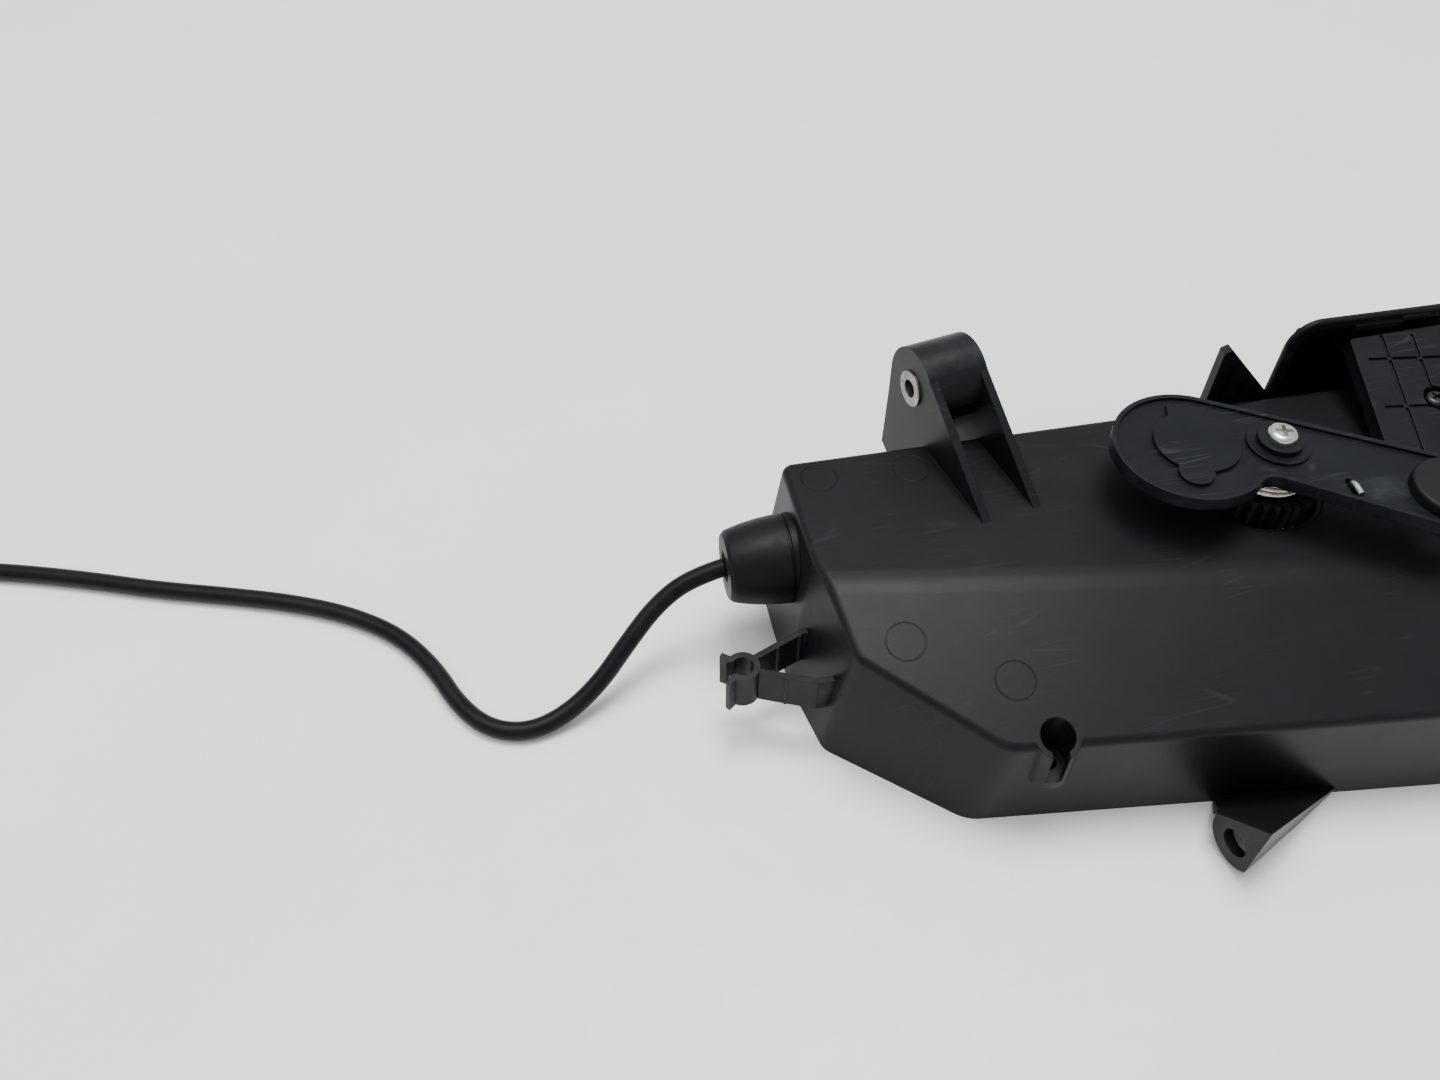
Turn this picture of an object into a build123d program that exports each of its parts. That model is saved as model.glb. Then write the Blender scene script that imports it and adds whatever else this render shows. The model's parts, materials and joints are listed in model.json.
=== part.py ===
"""Lever-output linear actuator.

A small motor turns a lead screw.  The screw drives a carriage along a guide rod, and a rack on the
carriage swings the pinion, spring and lever on top of the moulded housing.

Millimetres, +Z up.  The origin is the foot of the lever pivot on the underside of the housing, and
+X runs along the housing's straight back wall, away from the cable gland.
"""
import os
from math import acos, atan2, cos, degrees, pi, radians, sin, tan

from build123d import *

# ---- housing -------------------------------------------------------------------------------------
wall = 2.5                      # moulded wall
top_z = 48.0                    # flat rear part of the roof
ridge_left = (-116.6, -13.4)    # where the roof turns down to the front, left end
ridge_right = (32.9, -37.7)     # the same ridge, right end
facet_slope = 17.6              # degrees, front part of the roof
right_end = 100.0
# walls in plan at the foot, from back left round the front, and how far each leans in at the roof
walls = [((-137.6, 37.3), (-137.6, 0.0), 6.0),
         ((-137.2, -11.0), (-132.9, -34.0), 7.2),
         ((-130.4, -35.0), (-101.0, -61.0), 5.0),
         ((-101.0, -61.4), (right_end, -83.6), 0.4),
         ((right_end + 3.0, -90.0), (right_end + 3.0, 37.3), 3.0),
         ((right_end, 37.3), (-137.6, 37.3), 2.0)]
corner_rounds = [(-137, 37, 3.5), (-137, -9, 12.0), (-132, -34, 6.0), (-101, -61, 11.0),
                 (right_end, -84, 5.0), (right_end, 37, 3.5)]
ejector_marks = [(-122.2, 27.0), (-95.1, 25.6), (-113.3, -30.6), (-88.2, -45.5)]
ejector_r = 5.4
roof_edge_round, ridge_round = 2.4, 24.0
base_gap = 0.3                  # between the base plate's edge and the cover
base_t = 2.5
boss_r = 4.0
screw_points = [(-123.5, 27.0), (-112.0, -38.0), (-22.0, 28.0), (88.0, 27.0), (-30.0, -61.0),
                (86.0, -72.0)]

# ---- screw well on the front wall, open along a slot ---------------------------------------------
well_at = (-81.9, -60.6)
well_r, well_outer_r = 4.5, 6.0
well_floor, well_foot = 22.5, 19.5
well_slot = 4.4
well_slot_angle = 262.0
well_screw_r = 2.15

# ---- ears: both holes share one direction, turned a little from the back wall --------------------
ear_turn = 11.0                 # degrees about +Z
ear_at = (-90.6, 45.1)          # hole centre on the outer face of the left cheek
ear_z = 61.4
ear_width = 18.6
ear_cap_r = 12.4
cheek_t = 2.5
ear_insert_r, ear_insert_outer_r = 2.75, 4.2
lug_at = (-38.3, -85.7)         # lower ear, hole centre on its outer face
lug_z = 10.0
lug_hole_r, lug_r, lug_t = 3.85, 8.0, 3.0
lug_skin = 2.2
lug_web_foot = (-32.5, -69.0, 2.4)  # where the sloping web leaves the wall
lug_flange_from, lug_flange_to = (-37.1, -91.8), (1.5, -72.5)

# ---- gland and cable -----------------------------------------------------------------------------
gland_y, gland_z = 13.9, 30.5
gland_face_x = -152.4
gland_tip_r, gland_root_r = 10.5, 13.2
gland_neck_r = 9.0
cable_d = 5.5
floor_z = cable_d / 2
cable_route = [(-152.4, 13.9, 30.5), (-163.0, 13.6, 28.0), (-173.5, 9.8, 22.8), (-182.9, 3.0, 16.5),
               (-192.5, -4.3, 9.0), (-203.3, -9.9, 4.0), (-214.6, -13.0, floor_z),
               (-225.6, -9.4, floor_z), (-233.8, 0.7, floor_z), (-239.8, 14.5, floor_z),
               (-249.8, 28.7, floor_z), (-263.9, 39.6, floor_z), (-281.6, 48.1, floor_z),
               (-302.7, 55.3, floor_z), (-324.8, 62.1, floor_z), (-346.6, 70.4, floor_z),
               (-369.6, 78.0, floor_z), (-391.8, 83.8, floor_z), (-412.3, 88.8, floor_z)]
coil_at = (-436.6, 63.0)
coil_r = 30.0                   # middle of the turns
coil_half = cable_d             # three and a half turns lie two across and two high
tail_heading = -ear_turn        # the cable leaves the coil parallel to the line it came in on
tail_length = 40.0              # from below the coil's middle to the connector
plug_length, plug_width, plug_height = 18.0, 11.0, 7.0

# ---- lever, pinion and spring --------------------------------------------------------------------
arm_rest = -36.0                # degrees, direction of the arm at rest
arm_length = 44.5               # pivot to the swivel at the arm's end
arm_end_r, arm_half = 14.0, 12.6
lobe_at, lobe_r = (-21.8, -11.2), 21.0
lever_z0, lever_z1 = 61.0, 65.0
rim_w, rim_h = 1.5, 0.9
shaft_r = 4.0
hub_r = 7.0
pinion_m, pinion_teeth = 1.0, 28
pinion_z0, pinion_z1 = 35.0, 53.0
pinion_r = pinion_m * pinion_teeth / 2
recess_r, recess_outer_r = 16.4, 17.8
spring_r, spring_wire_r = 10.6, 0.85
spring_z = (54.4, 56.5)
slot_at, slot_turn = (20.5, -8.8), -59.0
slot_l, slot_w = 7.0, 2.5
leg_up, leg_end = (19.7, -7.4), (22.3, -11.8)
swivel_r, swivel_gap = 11.0, 0.08
swivel_bore_r = 3.0

# ---- drive train ---------------------------------------------------------------------------------
screw_y, screw_z = -28.0, 22.0
screw_r, journal_r, run_gap = 4.0, 3.0, 0.05
train_m, screw_teeth, motor_teeth = 0.8, 40, 12
motor_y = screw_y + train_m * (screw_teeth + motor_teeth) / 2
motor_r, motor_x0, motor_x1 = 13.85, -100.0, -62.0
plate_a_x, plate_b_x, plate_t = -62.0, -45.0, 3.0
gear_x0, gear_x1 = -55.5, -49.5
block_x0, block_x1 = 44.0, 50.0
rod_y, rod_z, rod_r = -48.0, 22.0, 3.0
carriage_half = 18.0
rack_back_y = -22.0
backlash = 0.14
board_z = 22.0
tower_top = 33.5

# ---- rear frame, brace and ribbed panel ----------------------------------------------------------
frame_x0, frame_y0, frame_depth, frame_lip = 25.9, 40.0, 24.0, 1.6
frame_top, frame_wall, frame_round = 71.0, 3.7, 9.0
frame_back = 3.0
panel_corner = (44.1, 37.6, 65.0)   # upper left corner of the panel's face
panel_turn, panel_slope = -7.7, 17.0
panel_t, panel_length, panel_width, panel_rise = 5.0, 53.0, 48.0, 6.6
cell_x, cell_y, groove = 9.35, 16.6, 1.0
first_cell = 10.0
panel_screws_at = [(61.2, 14.6), (86.0, 9.0)]

os.makedirs("parts", exist_ok=True)
nodes = {}


def cylinder(radius, z0, z1, at=(0, 0)):
    """Upright cylinder between two heights."""
    return Pos(at[0], at[1], (z0 + z1) / 2) * Cylinder(radius, z1 - z0)


def cylinder_x(radius, x0, x1, y, z):
    """Cylinder along X between two stations."""
    return Pos((x0 + x1) / 2, y, z) * Rot(0, 90, 0) * Cylinder(radius, x1 - x0)


def block(x0, x1, y0, y1, z0, z1):
    """Box given by its limits."""
    return Pos((x0 + x1) / 2, (y0 + y1) / 2, (z0 + z1) / 2) * Box(x1 - x0, y1 - y0, z1 - z0)


def wall_plane(spec, shrink):
    """Plane of one leaning wall, moved inward by a wall thickness; its normal points out."""
    (ax, ay), (bx, by), lean = spec
    along = Vector(bx - ax, by - ay).normalized()
    inward = Vector(-along.Y, along.X)
    out = (inward * -top_z - Vector(0, 0, 1) * -lean).normalized()
    return Plane(origin=Vector(ax, ay) - out * shrink, x_dir=along, z_dir=out)


def drafted_body(shrink):
    """Housing form between its leaning walls, drawn in by a wall thickness, before the rounds."""
    body = block(-160, 120, -110, 60, 0, top_z - shrink)
    for spec in walls:
        body = split(body, bisect_by=wall_plane(spec, shrink), keep=Keep.BOTTOM)
    body = split(body, bisect_by=facet_plane(shrink), keep=Keep.BOTTOM)
    return body


def facet_plane(drop):
    """The sloping front part of the roof, lowered along its own normal."""
    along = Vector(ridge_right[0] - ridge_left[0], ridge_right[1] - ridge_left[1]).normalized()
    across = Vector(along.Y, -along.X)
    down = across * cos(radians(facet_slope)) - Vector(0, 0, 1) * sin(radians(facet_slope))
    normal = along.cross(down) * -1
    start = Vector(ridge_left[0], ridge_left[1], top_z)
    if normal.Z < 0:
        normal = normal * -1
    return Plane(origin=start - normal * drop, x_dir=along, z_dir=normal)


def roof_z(x, y, drop=0.0):
    """Height of the roof above a point of the plan."""
    plane = facet_plane(drop)
    n, p = plane.z_dir, plane.origin
    return min(top_z - drop, p.Z - ((x - p.X) * n.X + (y - p.Y) * n.Y) / n.Z)


def spur_gear(module, teeth, z0, z1, bore):
    """Involute spur gear along Z with one tooth centred on +X."""
    pitch = module * teeth / 2
    base, tip, root = pitch * cos(radians(20)), pitch + module, pitch - 1.2 * module
    involute = tan(radians(20)) - radians(20)
    half = pi / (2 * teeth) - backlash / (2 * pitch) + involute
    flank = []
    for step in range(4):
        r = max(base, root) + (tip - max(base, root)) * step / 3
        angle = acos(min(1.0, base / r))
        flank.append((r, half - (tan(angle) - angle)))
    points = []
    for tooth in range(teeth):
        middle = 2 * pi * tooth / teeth
        rising = [(root, flank[0][1])] + flank if root < base - 0.05 else flank
        for r, a in rising:
            points.append((r * cos(middle - a), r * sin(middle - a)))
        for r, a in reversed(rising):
            points.append((r * cos(middle + a), r * sin(middle + a)))
    profile = make_face(Polyline(*[(x, y, z0) for x, y in points], close=True))
    return extrude(profile, z1 - z0) - cylinder(bore, z0 - 1, z1 + 1)


# ---- main cover ----------------------------------------------------------------------------------
ear_axis = Vector(cos(radians(ear_turn)), sin(radians(ear_turn)))
ear_across = (-ear_axis.Y, ear_axis.X, 0)
ear_plane = Plane(origin=(*ear_at, 0), x_dir=ear_across, z_dir=(ear_axis.X, ear_axis.Y, 0))
lug_plane = Plane(origin=(*lug_at, 0), x_dir=ear_across, z_dir=(ear_axis.X, ear_axis.Y, 0))


def foot_of(edge):
    """The lower end of an edge."""
    return min(edge @ 0, edge @ 1, key=lambda point: point.Z)


def roof_rim(body):
    """Edges round the roof, without the ridge that crosses it."""
    rim = [e for e in body.edges() if e.center().Z > 30 and abs(e.tangent_at(0.5).Z) < 0.75]
    return [e for e in rim if not on_ridge(e) and e.center().X < right_end - 1]


def on_ridge(edge):
    """Whether an edge runs along the crease between the two parts of the roof."""
    return edge.length > 200 and edge.center().Y < 0 and edge.center().Z > top_z - 2


def outer_form():
    """Closed outer form of the housing, with its corners, crease and roof edges rounded."""
    body = drafted_body(0)
    for x, y, radius in corner_rounds:
        corner = body.edges().filter_by(lambda e: abs(e.tangent_at(0).Z) > 0.8)
        nearest = corner.sort_by(lambda e: (foot_of(e) - Vector(x, y, 0)).length)[0]
        body = fillet(nearest, radius)
    body = fillet([e for e in body.edges() if on_ridge(e)], ridge_round)
    return fillet(roof_rim(body), roof_edge_round)


def cheek(z_offset):
    """One gusset plate of the upper ear, drawn in the plane across the hole."""
    front_foot, back_foot = -47.0, ear_cap_r - 1.2
    sketch = Plane(ear_plane.origin, ear_plane.x_dir, ear_plane.z_dir).offset(z_offset)
    with BuildSketch(sketch) as drawn:
        with Locations((0, ear_z)):
            Circle(ear_cap_r)
        with BuildLine():
            Polyline((front_foot, 36.0), (front_foot, top_z - 1.0), (-8.9, ear_z + 8.6),
                     (ear_cap_r, ear_z), (back_foot, 30.0), (-4.0, 22.0), (-14.0, 22.0),
                     (front_foot, 36.0))
        make_face()
    return extrude(drawn.sketch, cheek_t)


def upper_ear(form):
    """Two cheeks under a curved cap, with a cross rib and a through boss for the insert."""
    ear = cheek(0) + cheek(ear_width - cheek_t)
    with BuildSketch(ear_plane) as bow:
        with Locations((0, ear_z)):
            Circle(ear_cap_r)
            Circle(ear_cap_r - 2.4, mode=Mode.SUBTRACT)
        with Locations((3.0, ear_z - 10)):
            Rectangle(50, 20, mode=Mode.SUBTRACT)
    ear += extrude(bow.sketch, ear_width)
    with BuildSketch(ear_plane) as back:
        with Locations((ear_cap_r - 1.6, ear_z / 2 + 15.0)):
            Rectangle(2.4, ear_z - 30.0)
    ear += extrude(back.sketch, ear_width)
    with BuildSketch(ear_plane) as shelf:
        with Locations((-6.0, ear_z - 5.5)):
            Rectangle(8.5, 1.8)
    ear += extrude(shelf.sketch, ear_width)
    with BuildSketch(ear_plane) as boss:
        with Locations((0, ear_z)):
            Circle(ear_insert_outer_r + 2.0)
    ear += extrude(boss.sketch, ear_width)
    with BuildSketch(ear_plane) as hole:
        with Locations((0, ear_z)):
            Circle(ear_insert_outer_r)
    return ear - form - extrude(hole.sketch, ear_width + 4, both=True)


def lug_wedge(skin, plate_skin, z0):
    """Space between the lug's plate, sloping web and diagonal flange, each drawn in by its skin."""
    along = (Vector(*walls[3][1]) - Vector(*walls[3][0])).normalized()
    web_normal = (Vector(-along.Y, along.X) + Vector(0, 0, 1)).normalized()
    run = (Vector(*lug_flange_to) - Vector(*lug_flange_from)).normalized()
    flange_normal = Vector(run.Y, -run.X)
    faces = [(Vector(*lug_at) + ear_axis * plate_skin, ear_axis * -1),
             (Vector(*lug_web_foot) - web_normal * skin, web_normal),
             (Vector(*lug_flange_from) - flange_normal * skin, flange_normal)]
    body = block(-60, 20, -110, -60, z0, 40)
    for origin, normal in faces:
        body = split(body, bisect_by=Plane(origin=origin, z_dir=normal), keep=Keep.BOTTOM)
    return body


def lower_lug(form):
    """Hollow three-sided ear on the front wall: plate with the hole, sloping web and flange."""
    inward = Vector(-ear_axis.Y, ear_axis.X)
    lug = lug_wedge(0, 0, 0)
    edge = Vector(*lug_at) + inward * lug_r
    to_wall = (Vector(*lug_web_foot[:2]) - edge).normalized()
    side = Plane(origin=edge, z_dir=Vector(-to_wall.Y, to_wall.X))
    lug = split(lug, bisect_by=side, keep=Keep.BOTTOM)
    lug -= lug_wedge(lug_skin, lug_t, -1)
    below = Pos(0, lug_z / 2 - 1) * Rectangle(60, lug_z + 2) - Pos(0, lug_z) * Circle(lug_r)
    lug -= extrude(lug_plane * below, lug_t)
    outer_half = below & (Pos(-15, 0) * Rectangle(30, 60))
    lug -= extrude(lug_plane * outer_half, 40)
    hole = Pos(0, lug_z) * Circle(lug_hole_r)
    return lug - form - extrude(lug_plane * hole, lug_t)


def ejector_mark(x, y):
    """Fine ring left in the roof by an ejector pin."""
    flat = roof_z(x, y) > top_z - 0.01
    up = Vector(0, 0, 1) if flat else facet_plane(0).z_dir
    ring = Circle(ejector_r) - Circle(ejector_r - 0.3)
    return extrude(Plane(origin=(x, y, roof_z(x, y)), z_dir=up) * ring, 0.12, both=True)


def main_cover():
    """Roof and walls in one moulding, open below, with its ears, screw well and bosses."""
    form = outer_form()
    cavity = drafted_body(wall)
    shell = form - cavity
    well = cylinder(well_outer_r, well_foot, top_z, well_at)
    well = split(well, bisect_by=facet_plane(0), keep=Keep.BOTTOM)
    shell += well
    shell += cylinder(well_outer_r, 0, well_foot + 1, well_at) & form
    for x, y in screw_points:
        pillar = cylinder(boss_r, base_t, roof_z(x, y, wall / 2), (x, y))
        shell += pillar & form
    shell -= cylinder(well_r, well_floor, top_z, well_at)
    shell -= cylinder(well_screw_r, -1, top_z, well_at)
    toward = Vector(cos(radians(well_slot_angle)), sin(radians(well_slot_angle)))
    slot = Box(14, well_slot, top_z)
    middle = Vector(*well_at, well_floor + top_z / 2) + toward * 7
    shell -= Pos(*middle) * Rot(0, 0, well_slot_angle) * slot
    for spot in ejector_marks:
        shell -= ejector_mark(*spot)
    shell += upper_ear(form)
    shell += lower_lug(form)
    shell -= cylinder(recess_r, top_z - wall - 1, top_z + 1)
    shell -= cylinder(recess_outer_r, top_z - 0.7, top_z + 1)
    shell -= cylinder_x(gland_neck_r, -150, -118, gland_y, gland_z)
    for x, y in screw_points:
        shell -= cylinder(1.3, 0, 16.0, (x, y))
    return shell, form



# ---- closing parts and fixed fittings ------------------------------------------------------------
def base_plate():
    """Plate that closes the cover from below, with screw holes, tower and board posts."""
    cavity = drafted_body(wall + base_gap)
    plate = cavity & block(-200, 200, -120, 60, 0, base_t)
    plate -= cylinder(well_outer_r + 0.4, -1, base_t + 1, well_at)
    plate += tower()
    for x in (-112.0, -72.0):
        for y in (12.5, 28.5):
            plate += cylinder(3.0, base_t, board_z, (x, y)) - cylinder(1.0, 8, board_z + 1, (x, y))
    for x, y in screw_points:
        plate -= cylinder(1.6, -1, base_t + 1, (x, y))
        plate -= cylinder(2.9, -1, 1.3, (x, y))
    return plate


def tower():
    """Upright bearing tower for the lever's pivot shaft."""
    body = cylinder(10.0, base_t, tower_top) - cylinder(5.5, base_t + 1.5, tower_top + 1)
    for angle in (20, 90, 160):
        web = Pos(0, 0, 10) * Rot(0, 0, angle) * Pos(13, 0, 0) * Box(12, 2, 15)
        body += web - cylinder(8.0, 0, tower_top)
    return body


def pan_screw(x, y, head_z, head_r, head_h, shank_r, length):
    """Cross-head pan screw pointing down, its head resting at head_z."""
    head = cylinder(head_r, head_z, head_z + head_h, (x, y))
    head = fillet(head.edges().group_by(Axis.Z)[-1], min(head_h * 0.6, head_r * 0.4))
    for angle in (0, 90):
        cross = Rot(0, 0, angle + 20) * Box(head_r * 1.15, head_r * 0.26, head_h)
        head -= Pos(x, y, head_z + head_h * 0.95) * cross
    return head + cylinder(shank_r, head_z - length, head_z, (x, y))


def base_screws():
    """Self-tapping screws driven up through the base plate into the cover's bosses."""
    screws = []
    for x, y in screw_points:
        screws.append(cylinder(2.7, 0.1, 1.3, (x, y)) + cylinder(1.25, 1.3, 14.0, (x, y)))
    return Compound(screws)


def cable_gland(form):
    """Tapered rubber boot, necked through the wall, with the cable's bore."""
    inner = -121.0
    outline = [(gland_face_x + 1.0, 0), (gland_face_x + 1.0, cable_d / 2 + 1.2),
               (gland_face_x, cable_d / 2 + 2.0),
               (gland_face_x, gland_tip_r - 1.0), (gland_face_x + 1.0, gland_tip_r)]
    with BuildSketch(Plane.XZ) as drawn:
        with BuildLine():
            Polyline(*outline)
            Spline(outline[-1], (-146.0, 11.9), (-139.0, 12.9), (-133.0, gland_root_r))
            Polyline((-133.0, gland_root_r), (-128.0, gland_root_r), (-128.0, 0), outline[0])
        make_face()
    boot = Pos(0, gland_y, gland_z) * revolve(drawn.sketch, Axis.X)
    groove = cylinder_x(gland_root_r + 1, -135.0, -134.2, gland_y, gland_z)
    boot -= groove - cylinder_x(gland_root_r - 0.9, -136, -133, gland_y, gland_z)
    boot -= form
    boot += cylinder_x(gland_neck_r, -136.0, inner, gland_y, gland_z)
    return boot - cylinder_x(cable_d / 2, gland_face_x, inner + 1, gland_y, gland_z)


def cable_clip(form):
    """Snap clip on the left wall: two arms that close into a C-shaped ring with flared lips."""
    z0, z1, t = 14.0, 26.0, 1.8
    y_mid = -18.3
    ring_x, ring_r = -153.7, 3.0
    clip = None
    for side in (1, -1):
        arm = [(-126.0, side * 8.6), (-135.0, side * 8.6), (-149.2, side * 2.6)]
        for start, end in zip(arm, arm[1:]):
            middle = ((start[0] + end[0]) / 2, (start[1] + end[1]) / 2)
            run = Vector(end[0] - start[0], end[1] - start[1])
            turn = degrees(atan2(run.Y, run.X))
            piece = Pos(middle[0], y_mid + middle[1], (z0 + z1) / 2) * Rot(0, 0, turn)
            piece = piece * Box(run.length + 0.9, t, z1 - z0)
            clip = piece if clip is None else clip + piece
    for x, y in ((-136.0, 7.4), (-143.0, 4.3), (-143.0, -6.0)):
        clip += block(x - 0.4, x + 0.4, y_mid + y - 0.5, y_mid + y + 0.5, z0, z1)
    clip += cylinder(ring_r + t, z0, z1, (ring_x, y_mid))
    for side in (1, -1):
        lip = Pos(ring_x - 3.4, y_mid + side * 3.6, (z0 + z1) / 2) * Rot(0, 0, -side * 38)
        clip += lip * Box(4.6, 1.5, z1 - z0)
    clip -= cylinder(ring_r, z0 - 1, z1 + 1, (ring_x, y_mid))
    clip -= block(ring_x - 12, ring_x, y_mid - 2.1, y_mid + 2.1, z0 - 1, z1 + 1)
    return clip - form


def ear_insert():
    """Threaded metal sleeve through the upper ear, with a flange at its left end."""
    sleeve = Circle(ear_insert_outer_r) - Circle(ear_insert_r)
    flange = Circle(5.4) - Circle(ear_insert_r)
    place = Plane(ear_plane.origin + Vector(0, 0, ear_z), ear_plane.x_dir, ear_plane.z_dir)
    body = extrude(place * sleeve, ear_width)
    return body + extrude(place.offset(-0.7) * flange, 0.7)


def frame_dish(inset, y0, depth):
    """Solid with the frame's rim outline, straight at first and then drawn in at 45 degrees."""
    x0, x1 = frame_x0 + inset, right_end - inset
    top = frame_top - inset
    outline = Pos((x0 + x1) / 2, top - 60) * RectangleRounded(x1 - x0, 120, frame_round - inset)
    face = Plane(origin=(0, y0, 0), x_dir=(1, 0, 0), z_dir=(0, -1, 0))
    straight = extrude(face * outline, -(frame_y0 + frame_lip - y0))
    mirrored = Pos(-(x0 + x1) / 2, top - 60) * RectangleRounded(x1 - x0, 120, frame_round - inset)
    back = Plane(origin=(0, frame_y0 + frame_lip, 0), x_dir=(-1, 0, 0), z_dir=(0, 1, 0))
    return straight + extrude(back * mirrored, depth, taper=45)


def rear_frame():
    """Dished frame behind the housing: a rounded rim whose walls draw in and down behind it."""
    floor = block(0, 120, 30, 100, 0, 90)
    outer = frame_dish(0, frame_y0, frame_depth) & floor
    hollow = frame_dish(frame_wall, frame_y0 - 1, frame_depth - frame_back)
    body = outer - (hollow & block(0, 120, 30, 100, frame_wall, 90))
    rim = [e for e in body.edges() if abs(e.center().Y - frame_y0) < 0.01 and e.center().Z > 1]
    body = fillet(rim, 0.9)
    body += block(46, 61, 39.3, 41.5, 66.4, 68.2)
    body += block(61, 70, 39.3, 41.0, 68.0, 69.4)
    for x in (frame_x0 + 14, right_end - 14):
        body += block(x - 6, x + 6, 38.0, frame_y0 + 0.5, 0, 16)
    return body


def frame_brace():
    """Upright triangular fin beside the frame, ribbed by two pockets."""
    left, right = 3.9, frame_x0 - 0.05
    y0, y1 = 38.2, 41.4
    fin = make_face(Polyline((left, y0, 16.0), (left, y0, 65.0), (left + 2.2, y0, 66.0),
                             (right, y0, 45.0), (right, y0, 16.0), close=True))
    fin = extrude(fin, y1 - y0, dir=(0, 1, 0))
    for x0, width, low, high in ((left + 3.4, 2.4, 24.0, 60.0), (left + 9.6, 2.4, 24.0, 53.0)):
        fin -= block(x0, x0 + width, y0 - 1, y0 + 1.6, low, high)
    return fin


def panel_place():
    """Frame of the ribbed panel: its face is the local XY plane, running down and forward."""
    turn = radians(panel_turn)
    slope = radians(panel_slope)
    across = Vector(cos(turn), sin(turn), 0)
    forward = Vector(sin(turn) * cos(slope), -cos(turn) * cos(slope), -sin(slope))
    return Plane(origin=panel_corner, x_dir=across, z_dir=across.cross(forward) * -1)


def ribbed_panel():
    """Sloping panel from the frame down to the roof, its face divided by a grid of grooves."""
    place = panel_place()
    outline = make_face(Polyline((0, 0), (panel_width, panel_rise), (panel_width, -panel_length),
                                 (0, -panel_length), close=True))
    slab = extrude(place * fillet(outline.vertices(), 1.2), -panel_t)
    cuts = None
    rows = int(panel_length / cell_y) + 1
    columns = int(panel_width / cell_x) + 1
    for j in range(rows):
        for i in range(columns):
            x0 = first_cell + i * cell_x
            y0 = -(7.5 + j * cell_y)
            across = place * Pos(x0 - cell_x / 2, y0, 0) * Box(cell_x - 1.6, groove, 1.4)
            along = place * Pos(x0, y0 + cell_y / 2, 0) * Box(groove, cell_y - 1.2, 1.4)
            cuts = across + along if cuts is None else cuts + across + along
    middle = Pos(panel_width / 2 + 1, -panel_length / 2 + 2, 0)
    inside = place * middle * Box(panel_width - 5, panel_length - 2, 3)
    slab -= cuts & inside
    keep = block(0, right_end - frame_wall - 0.6, -60, 60, top_z + 0.05, 90)
    slab = slab & keep
    for x, y in panel_screws_at:
        slab -= cylinder(1.7, 40, 80, (x, y))
        slab -= cylinder(3.9, panel_z(x, y) - 1.6, 80, (x, y))
    return slab


def panel_z(x, y):
    """Height of the ribbed panel's face above a point of the plan."""
    plane = panel_place()
    n, p = plane.z_dir, plane.origin
    return p.Z - ((x - p.X) * n.X + (y - p.Y) * n.Y) / n.Z


# ---- motor, gears and screw ----------------------------------------------------------------------
def motor_can():
    """Drawn steel can with a bearing nose towards the gears."""
    can = cylinder_x(motor_r, motor_x0, motor_x1, motor_y, screw_z)
    can -= cylinder_x(motor_r - 1.2, motor_x0 - 1, motor_x1 - 1.5, motor_y, screw_z)
    can -= cylinder_x(1.25, motor_x1 - 3, motor_x1 + 1, motor_y, screw_z)
    for side in (1, -1):
        can -= cylinder_x(1.2, motor_x1 - 3, motor_x1 + 1, motor_y, screw_z + side * 8)
    return can


def motor_end_cap():
    """Moulded end cap that carries the brushes and the rear bearing."""
    cap = cylinder_x(motor_r, motor_x0 - 3.5, motor_x0 - 0.05, motor_y, screw_z)
    cap += cylinder_x(5.0, motor_x0 - 6.0, motor_x0 - 3.5, motor_y, screw_z)
    cap -= cylinder_x(1.25, motor_x0 - 5.0, motor_x0, motor_y, screw_z)
    for side in (1, -1):
        cap += block(motor_x0 - 9, motor_x0 - 3.4, motor_y + side * 9 - 0.4, motor_y + side * 9 + 0.4,
                     screw_z - 1.5, screw_z + 1.5)
    return cap


def motor_magnets():
    """Two curved magnets inside the can."""
    ring = cylinder_x(motor_r - 1.3, -94, -68, motor_y, screw_z)
    ring -= cylinder_x(9.6, -95, -67, motor_y, screw_z)
    gap = block(-95, -67, motor_y - 4, motor_y + 4, screw_z - 20, screw_z + 20)
    return ring - gap


def motor_armature():
    """Slotted core with windings, and the commutator behind it."""
    core = cylinder_x(9.0, -93, -69, motor_y, screw_z)
    for angle in (90, 210, 330):
        a = radians(angle)
        core -= cylinder_x(1.6, -94, -68, motor_y + 9.2 * cos(a), screw_z + 9.2 * sin(a))
    core += cylinder_x(3.2, -98.5, -93, motor_y, screw_z)
    return core - cylinder_x(1.15, -99, -60, motor_y, screw_z)


def x_gear(teeth, bore, turn):
    """Gear along X between the gear stations, at the origin of the YZ plane."""
    gear = spur_gear(train_m, teeth, 0, gear_x1 - gear_x0, bore)
    return Pos(gear_x0, 0, 0) * Rot(turn, 0, 0) * Rot(0, 90, 0) * gear


def gear_plate(x, motor_side):
    """Plate across the housing that carries a screw bush, the rod and, on one side, the motor."""
    y0, y1 = (-52.0, 10.0)
    plate = block(x, x + plate_t, y0, y1, base_t, 33.0)
    plate += block(x, x + plate_t, -30.0, y1, 32.0, 40.0)
    plate -= cylinder_x(5.0, x - 1, x + plate_t + 1, screw_y, screw_z)
    if motor_side:
        plate -= cylinder_x(3.5, x - 1, x + plate_t + 1, motor_y, screw_z)
        for side in (1, -1):
            plate -= cylinder_x(1.5, x - 1, x + plate_t + 1, motor_y, screw_z + side * 8)
    else:
        plate -= cylinder_x(rod_r, x - 1, x + plate_t + 1, rod_y, rod_z)
    return plate


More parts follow.
